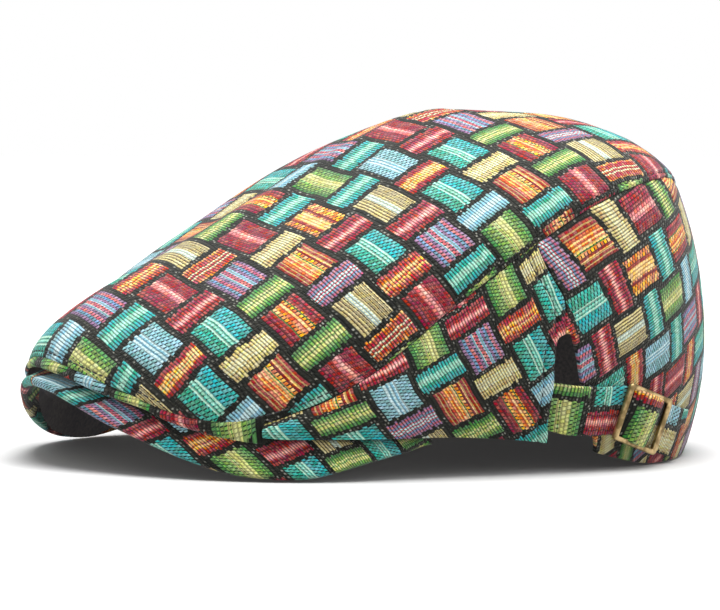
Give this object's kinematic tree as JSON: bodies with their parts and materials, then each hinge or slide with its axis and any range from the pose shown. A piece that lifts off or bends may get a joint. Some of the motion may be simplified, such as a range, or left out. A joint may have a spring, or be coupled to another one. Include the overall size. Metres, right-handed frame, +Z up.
{
  "type": "flat cap",
  "caption": "Flat cap in many-coloured basket-weave cloth, with a bent-down peak, wedge side panels, and a size strap with a slide buckle over a rear slit.",
  "frame": {"origin": "on the floor under the middle of the cap", "axes": "+Z up, -Y the front where the peak is, +X the wearer's left where the buckle is"},
  "size_m": [0.1986, 0.2571, 0.1225],
  "materials": {
    "cloth": "matte woven cloth, basket pattern in many colours on near-black",
    "buckle_metal": "antique brass, satin"
  },
  "bodies": {
    "root": {"top_panel": "cloth", "side_panel_left": "cloth", "side_panel_right": "cloth", "back_panel": "cloth", "peak": "cloth", "strap": "cloth", "buckle": "buckle_metal", "buckle_tab": "cloth"}
  },
  "joints": []
}
